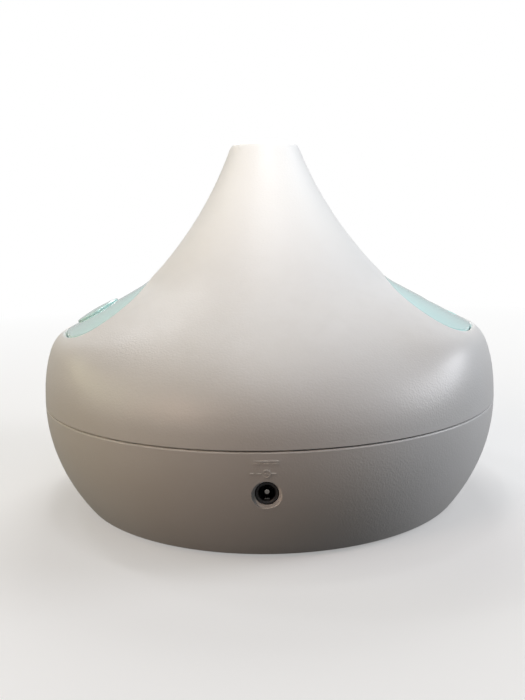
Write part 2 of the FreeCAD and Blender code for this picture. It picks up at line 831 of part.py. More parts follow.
def fan_rotor():
    low = fan_bottom + 1.9
    high = fan_top - 0.7
    cup = cylinder(fan_hub, low, high, 0, fan_centre)
    cup = cup.makeFillet(0.8, [e for e in cup.Edges if e.BoundBox.ZMin > high - 0.1])
    cup = cup.cut(cylinder(fan_hub - 1.4, low - 1, high - 1.5, 0, fan_centre))
    cup = cup.cut(cylinder(fan_shaft_radius, low, high - 0.5, 0, fan_centre))
    blades = []
    span = fan_bore - fan_tip_gap
    for i in range(fan_blades):
        blade = Part.makeBox(span, 1.0, 7.5, vec(0, -0.5, -3.75))
        blade.rotate(vec(0, 0, 0), vec(1, 0, 0), 52)
        blade.rotate(vec(0, 0, 0), vec(0, 0, 1), 360.0 * i / fan_blades)
        blade.translate(vec(0, fan_centre, (low + high) / 2))
        blades.append(blade)
    swept = tube(span, fan_hub - 0.7, low + 0.4, high - 0.4, 0, fan_centre)
    return cup.fuse([blade.common(swept) for blade in blades]).removeSplitter()


def fan_shaft():
    return cylinder(fan_shaft_radius, fan_bottom + 1.0, fan_top - 1.2, 0, fan_centre)


def ring_wire(radius, y, z):
    return Part.Wire([Part.Circle(vec(0, y, z), vec(0, 0, 1), radius).toShape()])


def air_duct():
    low = fan_top + duct_wall
    rise = basin_floor - low
    levels = [0.0, 0.12, 0.35, 0.65, 0.88, 1.0]

    def funnel(start, end):
        wires = []
        for share in levels:
            ease = share * share * (3 - 2 * share)
            y = fan_centre + (-snorkel_centre - fan_centre) * ease
            wires.append(ring_wire(start + (end - start) * ease, y, low + rise * share))
        return Part.makeLoft(wires, True)

    bore = fan_bore - 0.3
    plate = box(fan_size, fan_size, fan_top, low, 0, fan_centre)
    plate = plate.cut(cylinder(bore, 0, low + 1, 0, fan_centre))
    body = plate.fuse(funnel(bore + duct_wall, snorkel_radius)).removeSplitter()
    body = body.cut(funnel(bore, snorkel_radius - snorkel_wall))
    return cut_all(body, [cylinder(screw_head + 0.3, low, low + 6, x, y) for x, y in fan_holes()] + [
        cylinder(screw_radius + 0.2, 0, low + 1, x, y) for x, y in fan_holes()
    ])


# Basin and what it carries

def basin():
    cup = tube(basin_radius, basin_inner, basin_floor, basin_underside + 0.5)
    floor = cylinder(basin_radius, basin_floor, basin_inside)
    flange = tube(flange_radius, basin_inner, basin_underside, flange_top)
    collar = tube(collar_radius, collar_radius - collar_wall, flange_top, flange_top + collar_height)
    boss = tube(clamp_radius, disc_radius + 1.2, basin_floor - disc_seal_height, basin_floor)
    snorkel = cylinder(snorkel_radius, basin_floor, flange_top + snorkel_rise, 0, -snorkel_centre)
    towers = [cylinder(tower_radius, basin_floor, tower_top, side * tower_centre, 0) for side in (-1, 1)]
    post = cylinder(float_post_radius, basin_floor, float_post_top, -float_offset, -float_offset)
    step = cylinder(float_post_radius + 2.0, basin_floor, float_bottom, -float_offset, -float_offset)
    led_posts = [cylinder(2.2, basin_floor - 1.0, basin_floor, p.x, p.y) for p in led_places()]
    body = cup.fuse([floor, flange, collar, boss, snorkel, post, step] + towers + led_posts).removeSplitter()
    cuts = [cylinder(disc_port, 0, seam_height)]
    cuts.append(cylinder(snorkel_radius - snorkel_wall, 0, hood_top, 0, -snorkel_centre))
    cuts += [
        cylinder(tower_radius - tower_wall, 0, tower_top - tower_wall, side * tower_centre, 0)
        for side in (-1, 1)
    ]
    cuts.append(cylinder(1.55, float_post_top - 5, float_post_top + 1, -float_offset, -float_offset))
    cuts += screw_bosses(column_circle, diagonal_angles, screw_radius + 0.15, 0, seam_height + 9)
    cuts += [
        cylinder(small_screw_radius + thread_gap, 0, basin_floor - 0.5, p.x, p.y) for p in clamp_places()
    ]
    cuts += [cylinder(small_screw_radius + thread_gap, 0, basin_floor + 1.3, p.x, p.y) for p in led_places()]
    return cut_all(body, cuts)


def clamp_places():
    return [polar(clamp_screw_circle, a) for a in (90, 210, 330)]


def led_places():
    return [polar((led_ring[0] + led_ring[1]) / 2, a) for a in (30, 150, 270)]


def basin_gasket():
    return tube(gasket_ring[1], gasket_ring[0], gasket_bottom, basin_underside)


def disc_seal():
    low = basin_floor - disc_seal_height
    ring = tube(disc_radius + 1.1, disc_port, low, basin_floor)
    middle = (low + basin_floor) / 2
    return ring.cut(cylinder(disc_radius + 0.05, middle - disc_thickness / 2, middle + disc_thickness / 2))


def transducer_disc():
    middle = basin_floor - disc_seal_height / 2
    low = middle - disc_thickness / 2 + 0.02
    plate = cylinder(disc_radius, low, middle + disc_thickness / 2 - 0.02)
    return plate.fuse(cylinder(5.0, low - 0.25, low)).removeSplitter()


def disc_clamp():
    low = basin_floor - disc_seal_height - clamp_thickness
    ring = tube(clamp_radius, disc_port - 0.5, low, low + clamp_thickness)
    return cut_all(ring, [cylinder(small_screw_radius + 0.1, 0, 99, p.x, p.y) for p in clamp_places()])


def clamp_screws():
    low = basin_floor - disc_seal_height - clamp_thickness
    return small_screws([vec(p.x, p.y, low) for p in clamp_places()], 4.6)


def led_board():
    high = basin_floor - 1.0
    ring = tube(led_ring[1], led_ring[0], high - led_board_thickness, high)
    return cut_all(ring, [cylinder(small_screw_radius + 0.1, 0, 99, p.x, p.y) for p in led_places()])


def led_lamps():
    high = basin_floor - 1.0
    return Part.makeCompound([
        box(3.0, 3.0, high, high + 0.8, p.x, p.y)
        for p in (polar((led_ring[0] + led_ring[1]) / 2, a) for a in (90, 210, 330))
    ])


def led_screws():
    low = basin_floor - 1.0 - led_board_thickness
    return small_screws([vec(p.x, p.y, low) for p in led_places()], 3.6)


def level_float():
    body = cylinder(float_radius, float_bottom, float_bottom + float_height, -float_offset, -float_offset)
    body = body.makeFillet(1.0, body.Edges[:1] + body.Edges[2:])
    bore = cylinder(float_post_radius + float_gap, 0, 99, -float_offset, -float_offset)
    pocket = tube(7.05, 4.4, float_bottom + 0.5, float_bottom + 3.5, -float_offset, -float_offset)
    return cut_all(body, [bore, pocket])


def float_magnet():
    return tube(7.0, 4.45, float_bottom + 0.6, float_bottom + 3.4, -float_offset, -float_offset)


def float_cap():
    head = cylinder(float_cap_radius, float_post_top, float_post_top + 2, -float_offset, -float_offset)
    head = head.makeFillet(0.6, [e for e in head.Edges if e.BoundBox.ZMin > float_post_top + 1])
    plug = cylinder(1.5, float_post_top - 4.5, float_post_top, -float_offset, -float_offset)
    return head.fuse(plug).removeSplitter()


def float_sensor():
    high = basin_floor
    board = box(14.0, 10.0, high - 2.6, high - 1.0, -float_offset, -float_offset)
    chip = box(4.0, 3.0, high - 1.0, high - 0.1, -float_offset, -float_offset)
    return board.fuse(chip).removeSplitter()


def button_sensor(side):
    x = side * tower_centre
    board = box(1.2, 8.0, basin_floor - 4.0, tower_top - tower_wall - 0.4, x, 0)
    chip = box(1.4, 4.0, tower_top - tower_wall - 5.0, tower_top - tower_wall - 1.0, x + side * 1.3, 0)
    return board.fuse(chip).removeSplitter()


# Internal leads: straight runs joined by tangent arcs

def lead(points, radius):
    edges = []
    start = points[0]
    for before, corner, after in zip(points, points[1:], points[2:]):
        back = (before - corner).normalize()
        ahead = (after - corner).normalize()
        half = math.acos(max(-1.0, min(1.0, back.dot(ahead)))) / 2
        run = 0.45 * min((before - corner).Length, (after - corner).Length)
        enter = corner + back * run
        leave = corner + ahead * run
        bend = run * math.tan(half)
        centre = corner + (back + ahead).normalize() * (run / math.cos(half))
        middle = centre + (corner - centre).normalize() * bend
        edges.append(Part.makeLine(start, enter))
        edges.append(Part.Arc(enter, middle, leave).toShape())
        start = leave
    edges.append(Part.makeLine(start, points[-1]))
    path = Part.Wire(edges)
    profile = Part.Circle(points[0], points[1] - points[0], radius).toShape()
    return path.makePipeShell([Part.Wire([profile])], True, False)


def lead_pair(route, radius, shift):
    return Part.makeCompound([
        lead([p + shift * side for p in route], radius) for side in (-1, 1)
    ])


def power_lead():
    top = board_bottom + board_size[2] + 6.0
    y = inlet_board_face + inlet_board[1] / 2
    bottom = inlet_height - inlet_board[2] / 2
    route = [
        vec(8, y, bottom),
        vec(8, y, bottom - 5.5),
        vec(12, y - 9, top - 5),
        vec(18, board_centre + 13, top + 3.5),
        vec(20, board_centre - 2, top + 4),
        vec(20, board_centre - 2, top),
    ]
    return lead_pair(route, 0.8, vec(1.2, 0, 0))


def transducer_lead():
    top = board_bottom + board_size[2] + 6.0
    disc = basin_floor - disc_seal_height / 2 - disc_thickness / 2 - 0.25
    route = [
        vec(0, 0, disc),
        vec(0, 0, disc - 6),
        vec(-5, 14, disc - 8.5),
        vec(-11, board_centre - 15, top + 2.5),
        vec(-11, board_centre - 9, top + 3.5),
        vec(-11, board_centre - 9, top),
    ]
    return lead_pair(route, 0.6, vec(0.9, 0, 0))


def fan_lead():
    top = board_bottom + board_size[2] + 6.0
    edge = fan_centre + fan_size / 2
    route = [
        vec(14, edge, fan_bottom + 5),
        vec(14, edge + 9, fan_bottom + 5),
        vec(13, edge + 32, fan_bottom + 3.5),
        vec(11.5, board_centre - 18, top + 3),
        vec(11, board_centre - 8, top + 4),
        vec(11, board_centre - 8, top),
    ]
    return lead_pair(route, 0.6, vec(0.9, 0, 0))


os.makedirs("parts", exist_ok=True)

BASE = {
    "lower_housing": lower_housing,
    "bottom_cover": bottom_cover,
    "rubber_feet": rubber_feet,
    "housing_screws": housing_screws,
    "dc_jack": dc_jack,
    "dc_jack_pin": dc_jack_pin,
    "jack_board": jack_board,
    "jack_screws": jack_screws,
    "main_board": main_board,
    "board_parts": board_parts,
    "board_screws": board_screws,
    "fan_frame": fan_frame,
    "fan_stator": fan_stator,
    "fan_screws": fan_screws,
    "air_duct": air_duct,
    "basin": basin,
    "basin_gasket": basin_gasket,
    "basin_screws": basin_screws,
    "disc_seal": disc_seal,
    "transducer_disc": transducer_disc,
    "disc_clamp": disc_clamp,
    "clamp_screws": clamp_screws,
    "led_board": led_board,
    "led_lamps": led_lamps,
    "led_screws": led_screws,
    "float_cap": float_cap,
    "float_sensor": float_sensor,
    "power_lead": power_lead,
    "transducer_lead": transducer_lead,
    "fan_lead": fan_lead,
}
MOVING = {
    "fan_rotor": fan_rotor,
    "fan_shaft": fan_shaft,
    "level_float": level_float,
    "float_magnet": float_magnet,
    "hood": hood,
    "mist_chimney": mist_chimney,
    "chimney_seal": chimney_seal,
    "outlet_ring": outlet_ring,
}
BUTTONS = {
    "mist": (1, mist_button_size, mist_button_proud),
    "light": (-1, light_button_size, light_button_proud),
}

for name, make in list(BASE.items()) + list(MOVING.items()):
    save(name, make())
for name, (side, size, proud) in BUTTONS.items():
    save(name + "_pad", pad(side, size))
    save(name + "_button", button(side, size, proud))
    save(name + "_button_spring", button_spring(side))
    save(name + "_button_magnet", button_magnet(side))
    save(name + "_button_sensor", button_sensor(side))
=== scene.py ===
import json
import math

import bmesh
import bpy
from bpy.props import FloatProperty, FloatVectorProperty, PointerProperty
from mathutils import Matrix, Vector


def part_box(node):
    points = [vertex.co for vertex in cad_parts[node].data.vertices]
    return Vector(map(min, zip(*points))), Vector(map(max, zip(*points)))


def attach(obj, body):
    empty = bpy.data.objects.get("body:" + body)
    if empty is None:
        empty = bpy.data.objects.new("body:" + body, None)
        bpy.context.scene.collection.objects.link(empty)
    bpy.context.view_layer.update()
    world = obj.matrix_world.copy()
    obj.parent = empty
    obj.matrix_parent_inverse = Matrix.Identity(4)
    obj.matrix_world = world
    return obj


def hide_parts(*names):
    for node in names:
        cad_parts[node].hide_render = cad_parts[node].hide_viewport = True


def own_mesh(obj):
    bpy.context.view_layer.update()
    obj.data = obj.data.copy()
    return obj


bl_info = {
    "name": "Mist humidifier finishes",
    "version": (1, 0, 0),
    "blender": (4, 5, 0),
    "location": "3D View > Sidebar > Humidifier",
    "description": "Finishes, small moulded parts and studio stage for a lift-off mist humidifier",
    "category": "Object",
}

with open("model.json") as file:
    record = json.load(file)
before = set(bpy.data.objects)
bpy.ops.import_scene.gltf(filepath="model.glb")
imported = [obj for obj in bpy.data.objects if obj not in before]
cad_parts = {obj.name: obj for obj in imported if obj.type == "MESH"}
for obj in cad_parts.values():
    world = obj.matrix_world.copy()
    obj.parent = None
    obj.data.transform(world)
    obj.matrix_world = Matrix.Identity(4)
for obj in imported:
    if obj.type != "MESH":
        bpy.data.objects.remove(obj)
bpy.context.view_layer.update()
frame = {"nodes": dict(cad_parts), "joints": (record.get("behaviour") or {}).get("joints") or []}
NODES = frame["nodes"]


# Sizes and colours

def length(name, description, default, lowest=0.0, highest=1.0):
    """One distance in metres that a user may change."""
    return FloatProperty(
        name=name,
        description=description,
        default=default,
        min=lowest,
        max=highest,
        unit="LENGTH",
        subtype="DISTANCE",
        precision=5,
    )


def share(name, description, default):
    """One value between nought and one."""
    return FloatProperty(
        name=name, description=description, default=default, min=0.0, max=1.0, subtype="FACTOR"
    )


def colour(name, description, default):
    """One linear colour."""
    return FloatVectorProperty(
        name=name, description=description, default=default, size=3, min=0.0, max=1.0, subtype="COLOR"
    )


class HumidifierSizes(bpy.types.PropertyGroup):
    """Sizes of the small parts and of the surface detail."""

    grain_pitch: length("Shell grain", "Spacing of the spark-eroded grain on the shells", 0.0007)
    foot_round: length("Foot rounding", "Radius on the lower edge of each rubber foot", 0.0005)
    contact_width: length("Contact width", "Width of the sprung contact leaf in the inlet", 0.0016)
    contact_reach: length("Contact reach", "Length of the contact leaf along the inlet", 0.007)
    spring_wire: length("Spring wire", "Radius of the wire of the button springs", 0.0004)
    spring_radius: length("Spring radius", "Radius of the button springs to the middle of the wire", 0.0042)
    spring_length: length("Spring length", "Length of a button spring at rest", 0.0062)
    dust: share("Dust", "How much dust has settled on upward faces", 0.12)
    wear: share("Edge wear", "How far the handled edges have polished", 0.25)


class HumidifierColours(bpy.types.PropertyGroup):
    """Colours of the visible finishes."""

    shell: colour("Shell", "White moulded plastic of the hood and base", (0.80, 0.80, 0.795))
    shell_shade: colour("Shell shade", "Slight yellowing in patches of the shell", (0.775, 0.77, 0.755))
    aqua: colour("Aqua", "Glossy control pads and outlet ring", (0.66, 0.95, 0.94))
    aqua_shade: colour("Aqua shade", "Deeper colour where the pad is thick", (0.60, 0.92, 0.915))
    black: colour("Black", "Black moulded plastic", (0.012, 0.012, 0.013))
    board: colour("Board", "Solder mask of the circuit boards", (0.012, 0.10, 0.04))
    floor: colour("Floor", "Pale floor of the stage", (0.86, 0.86, 0.86))


# Shader node groups shared by several finishes

class Nodes:
    """A node tree with short calls for adding and joining nodes."""

    def __init__(self, tree):
        self.tree = tree

    def add(self, kind, inputs=None, **settings):
        node = self.tree.nodes.new(kind)
        for key, value in settings.items():
            setattr(node, key, value)
        for key, value in (inputs or {}).items():
            if isinstance(value, bpy.types.NodeSocket):
                self.tree.links.new(value, node.inputs[key])
            else:
                node.inputs[key].default_value = value
        return node

    def math(self, operation, first, second=None, third=None, clamp=False):
        values = {0: first}
        if second is not None:
            values[1] = second
        if third is not None:
            values[2] = third
        return self.add("ShaderNodeMath", values, operation=operation, use_clamp=clamp).outputs[0]

    def mix(self, factor, first, second):
        node = self.add("ShaderNodeMix", data_type="RGBA")
        pairs = ((node.inputs[0], factor), (node.inputs[6], first), (node.inputs[7], second))
        for socket, value in pairs:
            if isinstance(value, bpy.types.NodeSocket):
                self.tree.links.new(value, socket)
            else:
                socket.default_value = value
        return node.outputs[2]

    def fit(self, value, low, high, new_low, new_high):
        return self.add(
            "ShaderNodeMapRange",
            {"Value": value, "From Min": low, "From Max": high, "To Min": new_low, "To Max": new_high},
        ).outputs[0]

    def place(self):
        return self.add("ShaderNodeTexCoord").outputs["Object"]


def effect(name, inputs, outputs, build):
    """A shader node group with named sockets, made once and placed in each finish."""
    if name in bpy.data.node_groups:
        return bpy.data.node_groups[name]
    group = bpy.data.node_groups.new(name, "ShaderNodeTree")
    for label, kind, default in inputs:
        socket = group.interface.new_socket(label, in_out="INPUT", socket_type="NodeSocket" + kind)
        socket.default_value = default
    for label, kind in outputs:
        group.interface.new_socket(label, in_out="OUTPUT", socket_type="NodeSocket" + kind)
    tree = Nodes(group)
    entry = tree.add("NodeGroupInput").outputs
    results = build(tree, entry)
    leave = tree.add("NodeGroupOutput")
    for label, socket in results.items():
        group.links.new(socket, leave.inputs[label])
    return group


def grain_effect():
    """Fine eroded grain: a height for the bump and a slow change of tone."""

    def build(tree, entry):
        where = tree.place()
        fine = tree.add("ShaderNodeTexNoise", {"Vector": where, "Scale": entry["Scale"], "Detail": 2.0})
        coarse_scale = tree.math("MULTIPLY", entry["Scale"], 0.02)
        coarse = tree.add("ShaderNodeTexNoise", {"Vector": where, "Scale": coarse_scale, "Detail": 3.0})
        return {
            "Height": fine.outputs[0],
            "Tone": tree.fit(coarse.outputs[0], 0.3, 0.7, 0.0, 1.0),
        }

    outputs = [("Height", "Float"), ("Tone", "Float")]
    return effect("moulded grain", [("Scale", "Float", 1800.0)], outputs, build)


def wear_effect():
    """Edges that hands have polished, broken up so that no edge is worn evenly."""

    def build(tree, entry):
        rounded = tree.add("ShaderNodeBevel", {"Radius": entry["Radius"]}, samples=4)
        flat = tree.add("ShaderNodeNewGeometry").outputs["Normal"]
        along = tree.add(
            "ShaderNodeVectorMath", {0: rounded.outputs[0], 1: flat}, operation="DOT_PRODUCT"
        ).outputs["Value"]
        edge = tree.fit(along, 0.995, 0.85, 0.0, 1.0)
        patches = tree.add("ShaderNodeTexNoise", {"Vector": tree.place(), "Scale": 140.0, "Detail": 3.0})
        broken = tree.fit(patches.outputs[0], 0.42, 0.62, 0.25, 1.0)
        return {"Mask": tree.math("MULTIPLY", edge, broken, clamp=True)}

    return effect("worn edge", [("Radius", "Float", 0.0005)], [("Mask", "Float")], build)


def dust_effect():
    """Dust that settles on upward faces, thicker in patches."""

    def build(tree, entry):
        normal = tree.add("ShaderNodeNewGeometry").outputs["Normal"]
        up = tree.add("ShaderNodeSeparateXYZ", {0: normal}).outputs[2]
        lying = tree.fit(up, 0.55, 1.0, 0.0, 1.0)
        motes = tree.add(
            "ShaderNodeTexNoise", {"Vector": tree.place(), "Scale": entry["Scale"], "Detail": 5.0}
        )
        patchy = tree.fit(motes.outputs[0], 0.45, 0.75, 0.0, 1.0)
        return {"Mask": tree.math("MULTIPLY", lying, patchy, clamp=True)}

    return effect("settled dust", [("Scale", "Float", 160.0)], [("Mask", "Float")], build)


def speck_effect():
    """Sparse specks of dirt pressed into a moulded skin."""

    def build(tree, entry):
        cells = tree.add("ShaderNodeTexVoronoi", {"Vector": tree.place(), "Scale": entry["Scale"]})
        dot = tree.fit(cells.outputs["Distance"], 0.025, 0.045, 1.0, 0.0)
        pick = tree.add("ShaderNodeSeparateColor", {0: cells.outputs["Color"]}).outputs[0]
        chosen = tree.math("GREATER_THAN", pick, entry["Rarity"])
        return {"Mask": tree.math("MULTIPLY", dot, chosen, clamp=True)}

    return effect(
        "dirt specks", [("Scale", "Float", 45.0), ("Rarity", "Float", 0.9)], [("Mask", "Float")], build
    )


# Finishes

DUST_TONE = (0.55, 0.53, 0.50, 1.0)
DIRT_TONE = (0.12, 0.09, 0.06, 1.0)
SOLDER_TONE = (0.62, 0.60, 0.55, 1.0)
# Dark and bright copies of the winding's enamel: painted shade and painted highlight
ENAMEL_PAINTED_SHADE = (0.20, 0.06, 0.02, 1.0)
ENAMEL_PAINTED_HIGHLIGHT = (0.72, 0.30, 0.12, 1.0)
BLACK = (0.0, 0.0, 0.0, 1.0)
WHITE = (1.0, 1.0, 1.0, 1.0)
MERGE_WITHIN = 1e-7


def opaque(rgb):
    """A colour with its fourth part, as sockets ask for."""
    return (rgb[0], rgb[1], rgb[2], 1.0)


def start(name):
    """An empty material and its Principled BSDF."""
    material = bpy.data.materials.new(name)
    material.use_nodes = True
    tree = Nodes(material.node_tree)
    material.node_tree.nodes.clear()
    shader = tree.add("ShaderNodeBsdfPrincipled")
    output = tree.add("ShaderNodeOutputMaterial")
    material.node_tree.links.new(shader.outputs[0], output.inputs[0])
    return material, tree, shader


def wire(tree, shader, **sockets):
    """Joins named sockets of the shader to varying values."""
    for label, value in sockets.items():
        tree.tree.links.new(value, shader.inputs[label.replace("_", " ")])


def plastic(name, tint, shade, roughness, pitch=0.0006, bump=0.08, wear=0.2, dust=0.1, specks=0.0, **fixed):
    """Moulded plastic with its grain, patches of tone, polished edges, dust and specks."""
    material, tree, shader = start(name)
    for label, value in fixed.items():
        shader.inputs[label.replace("_", " ")].default_value = value
    grain = tree.add("ShaderNodeGroup", node_tree=grain_effect())
    grain.inputs["Scale"].default_value = 1.0 / pitch
    worn = tree.add("ShaderNodeGroup", node_tree=wear_effect())
    settled = tree.add("ShaderNodeGroup", node_tree=dust_effect())
    lighter = [0.5 * (1.0 + part) for part in tint]
    skin = tree.mix(grain.outputs["Tone"], opaque(tint), opaque(shade))
    edged = tree.mix(tree.math("MULTIPLY", worn.outputs[0], wear), skin, opaque(lighter))
    dusted = tree.mix(tree.math("MULTIPLY", settled.outputs[0], dust), edged, DUST_TONE)
    if specks:
        dirt = tree.add("ShaderNodeGroup", node_tree=speck_effect())
        dirt.inputs["Rarity"].default_value = 1.0 - specks
        dusted = tree.mix(dirt.outputs[0], dusted, DIRT_TONE)
    rough = tree.fit(grain.outputs["Tone"], 0.0, 1.0, roughness * 0.9, min(roughness * 1.12, 1.0))
    rough = tree.math("ADD", rough, tree.math("MULTIPLY", settled.outputs[0], dust), clamp=True)
    normal = tree.add(
        "ShaderNodeBump", {"Strength": bump, "Distance": pitch * 0.4, "Height": grain.outputs["Height"]}
    )
    wire(tree, shader, Base_Color=dusted, Roughness=rough, Normal=normal.outputs[0])
    return material


def metal(name, tint, shade, roughness, pitch=0.0004, stretch=(1.0, 1.0, 0.08), bump=0.05, **fixed):
    """Bare or plated metal with drawn marks, patches of tarnish and brighter edges."""
    material, tree, shader = start(name)
    shader.inputs["Metallic"].default_value = 1.0
    for label, value in fixed.items():
        shader.inputs[label.replace("_", " ")].default_value = value
    drawn = tree.add("ShaderNodeMapping", {"Vector": tree.place(), "Scale": stretch})
    marks = tree.add("ShaderNodeTexNoise", {"Vector": drawn.outputs[0], "Scale": 1.0 / pitch, "Detail": 3.0})
    tarnish = tree.add("ShaderNodeTexNoise", {"Vector": tree.place(), "Scale": 260.0, "Detail": 4.0})
    patch = tree.fit(tarnish.outputs[0], 0.35, 0.7, 0.0, 1.0)
    worn = tree.add("ShaderNodeGroup", node_tree=wear_effect())
    worn.inputs["Radius"].default_value = 0.0002
    brighter = [0.6 + 0.4 * part for part in tint]
    skin = tree.mix(patch, opaque(tint), opaque(shade))
    edged = tree.mix(worn.outputs[0], skin, opaque(brighter))
    rough = tree.fit(marks.outputs[0], 0.3, 0.7, roughness * 0.75, min(roughness * 1.3, 1.0))
    normal = tree.add("ShaderNodeBump", {"Strength": bump, "Distance": 0.0001, "Height": marks.outputs[0]})
    wire(tree, shader, Base_Color=edged, Roughness=rough, Normal=normal.outputs[0])
    return material


def circuit(name, mask):
    """Glass-fibre board under solder mask, with copper runs showing through as lighter lines."""
    material, tree, shader = start(name)
    shader.inputs["Coat Weight"].default_value = 0.35
    shader.inputs["Coat Roughness"].default_value = 0.15
    where = tree.place()
    runs = tree.add(
        "ShaderNodeTexBrick",
        {
            "Vector": where,
            "Scale": 1.0,
            "Mortar Size": 0.00022,
            "Mortar Smooth": 0.1,
            "Brick Width": 0.0052,
            "Row Height": 0.0019,
        },
        offset_frequency=3,
    )
    for socket, tone in (("Color1", BLACK), ("Color2", BLACK), ("Mortar", WHITE)):
        runs.inputs[socket].default_value = tone
    pads = tree.add("ShaderNodeTexVoronoi", {"Vector": where, "Scale": 240.0, "Randomness": 0.55})
    pad = tree.fit(pads.outputs["Distance"], 0.16, 0.2, 1.0, 0.0)
    weave = tree.add("ShaderNodeTexWave", {"Vector": where, "Scale": 900.0, "Distortion": 0.6})
    fibre = tree.mix(weave.outputs[1], opaque(mask), opaque([part * 1.35 for part in mask]))
    run = tree.mix(runs.outputs[1], fibre, opaque([0.02 + part * 2.1 for part in mask]))
    solder = tree.mix(pad, run, SOLDER_TONE)
    rough = tree.fit(pad, 0.0, 1.0, 0.38, 0.22)
    raised = tree.math("ADD", runs.outputs[1], pad)
    normal = tree.add("ShaderNodeBump", {"Strength": 0.3, "Distance": 0.00008, "Height": raised})
    wire(tree, shader, Base_Color=solder, Roughness=rough, Metallic=pad, Normal=normal.outputs[0])
    return material


def winding(name):
    """Enamelled wire wound in close turns, with painted shade between the turns and a painted highlight
    along each turn.
    """
    material, tree, shader = start(name)
    shader.inputs["Metallic"].default_value = 1.0
    shader.inputs["Coat Weight"].default_value = 0.6
    turns = tree.add(
        "ShaderNodeTexWave",
        {"Vector": tree.place(), "Scale": 620.0, "Distortion": 0.4, "Detail": 1.0},
        bands_direction="Z",
    )
    # Bands across the turns go from painted shade to painted highlight
    wire_painted_light = tree.mix(turns.outputs[1], ENAMEL_PAINTED_SHADE, ENAMEL_PAINTED_HIGHLIGHT)
    rough = tree.fit(turns.outputs[1], 0.0, 1.0, 0.45, 0.22)
    normal = tree.add("ShaderNodeBump", {"Strength": 0.8, "Distance": 0.00015, "Height": turns.outputs[1]})
    wire(tree, shader, Base_Color=wire_painted_light, Roughness=rough, Normal=normal.outputs[0])
    return material


def finish_nodes(material, *nodes):
    """Puts one finish on frame nodes in place of their plain ones."""
    for node in nodes:
        slots = NODES[node].data.materials
        slots.clear()
        slots.append(material)


def made(name, bm, body, slot, material, *nodes, sharp=35.0):
    """Turns a finished bmesh into a named piece that rides on a body."""
    bmesh.ops.remove_doubles(bm, verts=bm.verts, dist=MERGE_WITHIN)
    bmesh.ops.recalc_face_normals(bm, faces=bm.faces)
    mesh = bpy.data.meshes.new(name)
    bm.to_mesh(mesh)
    bm.free()
    mesh.shade_smooth()
    mesh.set_sharp_from_angle(angle=math.radians(sharp))
    mesh.materials.append(material)
    piece = bpy.data.objects.new(name, mesh)
    bpy.context.scene.collection.objects.link(piece)
    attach(piece, body)
    if nodes:
        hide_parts(*nodes)
    return piece


def turned(bm, outline, centre, steps):
    """Spins an outline of (radius, height) points full round an upright axis through centre."""
    axis = Vector((0.0, 0.0, 1.0))
    side = axis.orthogonal().normalized()
    row = [bm.verts.new(Vector(centre) + side * radius + axis * height) for radius, height in outline]
    line = [bm.edges.new(pair) for pair in zip(row, row[1:])]
    bmesh.ops.spin(
        bm, geom=row + line, cent=centre, axis=axis, angle=2.0 * math.pi, steps=steps, use_merge=True
    )


# Operators, one for each group of pieces

